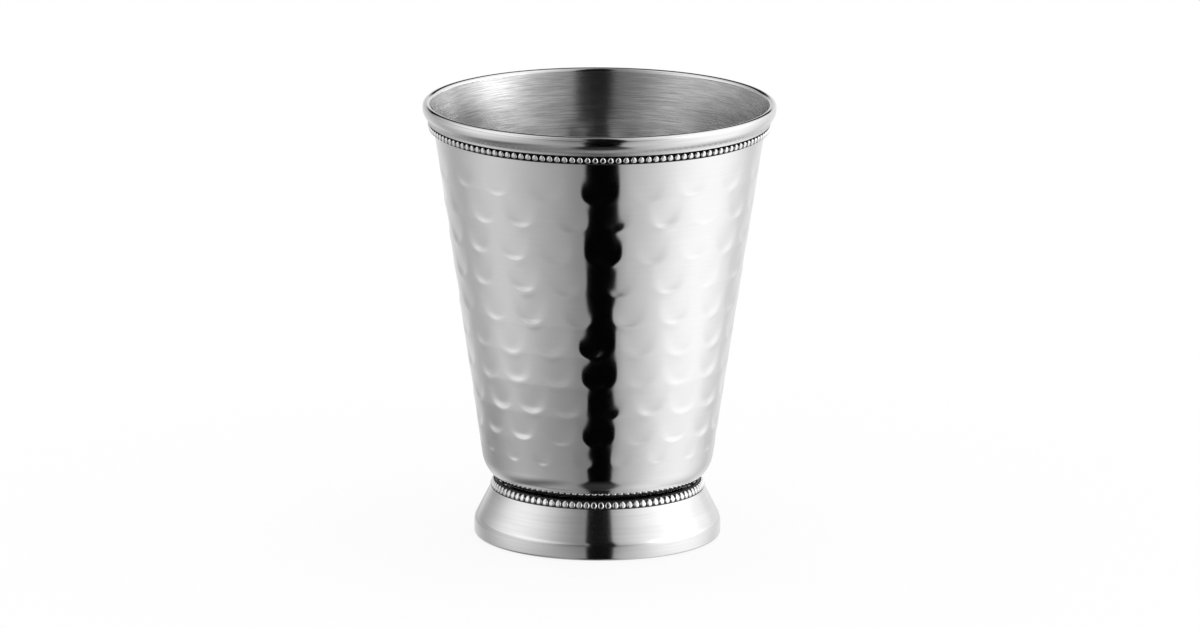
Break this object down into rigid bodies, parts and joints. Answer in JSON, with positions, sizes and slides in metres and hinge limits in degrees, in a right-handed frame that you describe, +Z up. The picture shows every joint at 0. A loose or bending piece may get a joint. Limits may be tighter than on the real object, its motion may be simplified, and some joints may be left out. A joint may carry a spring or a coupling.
{
  "type": "julep cup",
  "caption": "Footed metal julep cup: tapered hammered bowl with a flared rolled lip, a beaded ring under the lip and a flared hollow foot with a beaded shoulder.",
  "frame": {"origin": "centre of the circle that the foot stands on", "axes": "+Z up along the cup's axis, from the table to the mouth; the cup is round, so X and Y are free, and -Y faces the picture's camera"},
  "size_m": [0.0888, 0.0888, 0.1111],
  "materials": {
    "hammered_steel": "polished and hammered outside, satin brushed inside",
    "polished_steel": "polished",
    "beaded_steel": "polished beads, darkened in the grooves",
    "satin_steel": "satin, brushed round the axis",
    "solder": "dull solder",
    "braze": "dull braze"
  },
  "bodies": {
    "root": {"bowl": "hammered_steel", "rim_band": "polished_steel", "rim_bead_ring": "beaded_steel", "rim_solder_ring": "solder", "foot": "satin_steel", "foot_bead_ring": "beaded_steel", "foot_braze_ring": "braze"}
  },
  "joints": []
}
